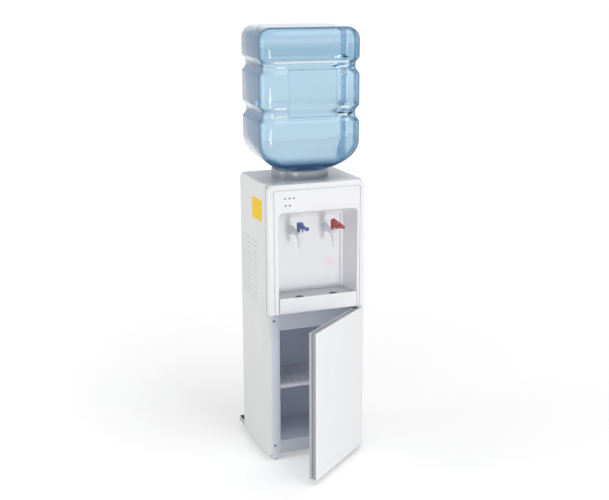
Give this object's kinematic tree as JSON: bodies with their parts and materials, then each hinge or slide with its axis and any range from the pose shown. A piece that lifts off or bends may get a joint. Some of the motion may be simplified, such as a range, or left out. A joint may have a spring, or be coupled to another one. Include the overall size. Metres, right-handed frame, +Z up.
{
  "type": "bottled water cooler with refrigerated cupboard",
  "caption": "Floor-standing water cooler: inverted square bottle on top, hot and cold taps over a drip tray in a bay, and a refrigerated cupboard with a hinged door ajar.",
  "frame": {"origin": "on the floor under the middle of the outline, with the cupboard door ajar as pictured", "axes": "+Z up, -Y the front with the taps and the door, +X the side of the door's hinge"},
  "size_m": [0.3262, 0.5156, 1.3321],
  "materials": {
    "cabinet_enamel": "satin",
    "fascia_plastic": "gloss",
    "galvanised_sheet": "satin",
    "frame_enamel": "satin",
    "steel_plain": "satin",
    "stem_plastic": "satin",
    "grille_grey": "satin",
    "liner_plastic": "satin",
    "surround_grey": "satin",
    "gasket_rubber": "matte",
    "foam": "matte",
    "cold_blue": "gloss",
    "hot_red": "gloss",
    "bottle_clear": "gloss",
    "cap_blue": "satin",
    "lens_clear": "gloss",
    "aluminium_plate": "satin",
    "black_enamel": "satin",
    "black_plastic": "matte",
    "black_rubber": "matte",
    "copper": "satin",
    "hose_silicone": "satin"
  },
  "bodies": {
    "cabinet": {"base_pan": "galvanised_sheet", "foot_pads": "black_plastic", "left_side_panel": "cabinet_enamel", "right_side_panel": "cabinet_enamel", "back_panel": "galvanised_sheet", "screws": "steel_plain", "top_cover": "cabinet_enamel", "bottle_collar": "fascia_plastic", "feed_probe": "fascia_plastic", "front_fascia": "fascia_plastic", "lamp_lenses": "lens_clear", "cold_tap_body": "fascia_plastic", "hot_tap_body": "fascia_plastic", "tap_nuts": "fascia_plastic", "front_frame": "frame_enamel", "hinge_hole_plugs": "liner_plastic", "compartment_liner": "liner_plastic", "foam_insulation": "foam", "evaporator_plate": "aluminium_plate", "shelf": "liner_plastic", "upper_hinge": "frame_enamel", "lower_hinge": "frame_enamel", "divider_shelf": "galvanised_sheet", "tank_shelf": "galvanised_sheet", "cold_tank": "steel_plain", "cold_tank_insulation": "foam", "cold_coil": "copper", "tank_lid": "steel_plain", "baffle_plate": "stem_plastic", "hot_tank": "steel_plain", "hot_tank_jacket": "foam", "hot_tank_heater": "steel_plain", "water_hoses": "hose_silicone", "drain_pipe": "stem_plastic", "compressor": "black_enamel", "compressor_grommets": "black_rubber", "condenser": "black_enamel", "filter_drier": "copper", "refrigerant_lines": "copper", "control_housings": "black_plastic", "cord_gland": "black_plastic"},
    "door": {"door_skin": "fascia_plastic", "door_surround": "surround_grey", "door_liner": "liner_plastic", "door_foam": "foam", "door_gasket": "gasket_rubber", "hinge_bushes": "stem_plastic"},
    "bottle": {"bottle": "bottle_clear", "bottle_cap": "cap_blue"},
    "tray": {"drip_tray": "fascia_plastic"},
    "grille": {"drip_grille": "grille_grey"},
    "cold_lever": {"cold_tap_lever": "cold_blue"},
    "cold_stem": {"cold_valve_stem": "stem_plastic"},
    "hot_lever": {"hot_tap_lever": "hot_red"},
    "hot_stem": {"hot_valve_stem": "stem_plastic"},
    "hot_catch": {"hot_safety_catch": "hot_red"},
    "cold_rocker": {"cold_switch": "black_plastic"},
    "hot_rocker": {"hot_switch": "black_plastic"},
    "knob": {"thermostat_knob": "black_plastic"},
    "cap": {"drain_cap": "stem_plastic"}
  },
  "joints": [
    {"name": "door_hinge", "type": "hinge", "parent": "cabinet", "child": "door", "pos_m": [0.1426, -0.058, 0.247], "axis": [0, 0, 1], "range_deg": [-40.5, 75]},
    {"name": "bottle_lift", "type": "slide", "parent": "cabinet", "child": "bottle", "axis": [0, 0, 1], "range_m": [0, 0.35]},
    {"name": "tray_slide", "type": "slide", "parent": "cabinet", "child": "tray", "axis": [0, -1, 0], "range_m": [0, 0.1]},
    {"name": "grille_lift", "type": "slide", "parent": "tray", "child": "grille", "axis": [0, 0, 1], "range_m": [0, 0.06]},
    {"name": "cold_lever_press", "type": "hinge", "parent": "cabinet", "child": "cold_lever", "pos_m": [-0.0505, -0.06, 0.738], "axis": [1, 0, 0], "range_deg": [0, 15], "stiffness_Nm_per_rad": 0.4, "springref_deg": -22.92},
    {"name": "cold_stem_lift", "type": "slide", "parent": "cabinet", "child": "cold_stem", "axis": [0, 0, 1], "range_m": [0, 0.0016]},
    {"name": "hot_lever_press", "type": "hinge", "parent": "cabinet", "child": "hot_lever", "pos_m": [0.0585, -0.06, 0.738], "axis": [1, 0, 0], "range_deg": [0, 15], "stiffness_Nm_per_rad": 0.4, "springref_deg": -22.92},
    {"name": "hot_stem_lift", "type": "slide", "parent": "cabinet", "child": "hot_stem", "axis": [0, 0, 1], "range_m": [0, 0.0016]},
    {"name": "hot_catch_slide", "type": "slide", "parent": "hot_lever", "child": "hot_catch", "axis": [0, 1, 0], "range_m": [0, 0.0025], "stiffness_N_per_m": 60, "springref_m": -0.004},
    {"name": "cold_switch_rock", "type": "hinge", "parent": "cabinet", "child": "cold_rocker", "pos_m": [-0.1, 0.2033, 0.44], "axis": [-1, 0, 0], "range_deg": [0, 20]},
    {"name": "hot_switch_rock", "type": "hinge", "parent": "cabinet", "child": "hot_rocker", "pos_m": [-0.066, 0.2033, 0.44], "axis": [-1, 0, 0], "range_deg": [0, 20]},
    {"name": "thermostat_turn", "type": "hinge", "parent": "cabinet", "child": "knob", "pos_m": [-0.02, 0.21, 0.44], "axis": [0, 1, 0], "range_deg": [0, 270]},
    {"name": "drain_cap_off", "type": "slide", "parent": "cabinet", "child": "cap", "axis": [0, 1, 0], "range_m": [0, 0.03]}
  ],
  "couplings": [
    {"joint": "cold_stem_lift", "follows": "cold_lever_press", "m_per_rad": 0.006},
    {"joint": "hot_stem_lift", "follows": "hot_lever_press", "m_per_rad": 0.006}
  ]
}
